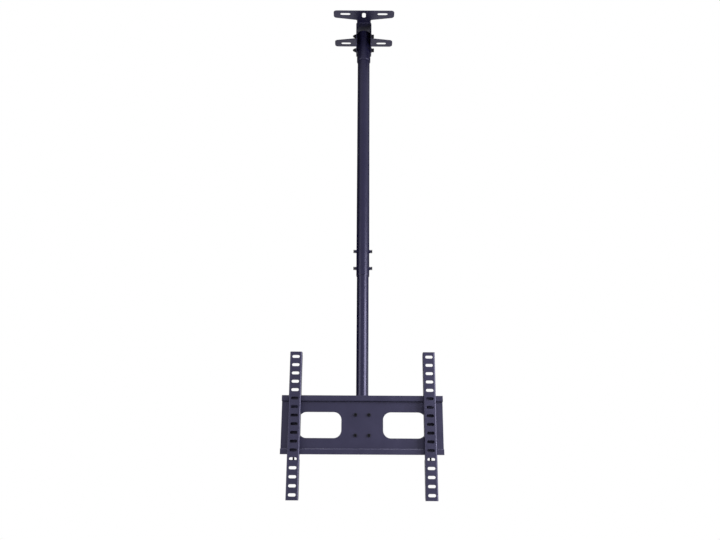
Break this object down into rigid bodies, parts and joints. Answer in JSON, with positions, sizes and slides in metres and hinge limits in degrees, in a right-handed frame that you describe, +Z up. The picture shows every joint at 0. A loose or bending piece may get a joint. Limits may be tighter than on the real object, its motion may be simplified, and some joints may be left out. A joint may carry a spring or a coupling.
{
  "type": "tv ceiling mount",
  "caption": "Telescopic ceiling mount for a flat television: slotted H-shaped ceiling plate, pivoting round pole, swivel and tilt head with sliding arms.",
  "frame": {"origin": "centre of the ceiling plate's upper face, which lies on the ceiling", "axes": "+Z up into the ceiling, the pole hangs along -Z, -Y towards the viewer and the television's screen, +X to the viewer's right"},
  "size_m": [0.48, 0.21, 1.6311],
  "materials": {
    "black_paint": "semi-gloss black powder coat",
    "black_fastener": "black-coated steel fasteners",
    "plain_steel": "plain turned steel",
    "black_nylon": "moulded nylon"
  },
  "bodies": {
    "ceiling": {"ceiling_plate": "black_paint", "ceiling_bracket": "black_paint", "pivot_bolt": "black_fastener", "pivot_washers": "black_fastener", "pivot_nut": "black_fastener"},
    "upper_pole": {"pole_socket": "black_paint", "upper_pole": "black_paint", "slope_bolt": "black_fastener", "slope_washers": "black_fastener", "slope_nut": "black_fastener", "clamp_screws": "black_fastener"},
    "lower_pole": {"lower_pole": "black_paint", "pole_plug": "plain_steel", "friction_discs": "black_nylon", "swivel_washer": "black_fastener", "swivel_bolt": "black_fastener"},
    "swivel": {"swivel_yoke": "black_paint", "tilt_pivot_bolts": "black_fastener", "tilt_lock_bolts": "black_fastener", "tilt_washers": "black_fastener", "tilt_nuts": "black_fastener"},
    "tilt_frame": {"tilt_bracket": "black_paint", "arm_rail": "black_paint", "rail_screws": "black_fastener", "rail_nuts": "black_fastener"},
    "left_arm": {"left_arm": "black_paint", "left_arm_screw": "black_fastener"},
    "right_arm": {"right_arm": "black_paint", "right_arm_screw": "black_fastener"}
  },
  "joints": [
    {"name": "slope_pivot", "type": "hinge", "parent": "ceiling", "child": "upper_pole", "pos_m": [0, 0, -0.03206], "axis": [1, 0, 0], "range_deg": [-30, 30]},
    {"name": "height_slide", "type": "slide", "parent": "upper_pole", "child": "lower_pole", "axis": [0, 0, 1], "range_m": [-0.144, 0.356]},
    {"name": "swivel", "type": "hinge", "parent": "lower_pole", "child": "swivel", "pos_m": [0, 0, -1.34156], "axis": [0, 0, 1], "continuous": true},
    {"name": "tilt", "type": "hinge", "parent": "swivel", "child": "tilt_frame", "pos_m": [0, 0, -1.41606], "axis": [1, 0, 0], "range_deg": [-5, 20]},
    {"name": "left_arm_slide", "type": "slide", "parent": "tilt_frame", "child": "left_arm", "axis": [1, 0, 0], "range_m": [-0.02, 0.1]},
    {"name": "right_arm_slide", "type": "slide", "parent": "tilt_frame", "child": "right_arm", "axis": [-1, 0, 0], "range_m": [-0.02, 0.1]}
  ]
}
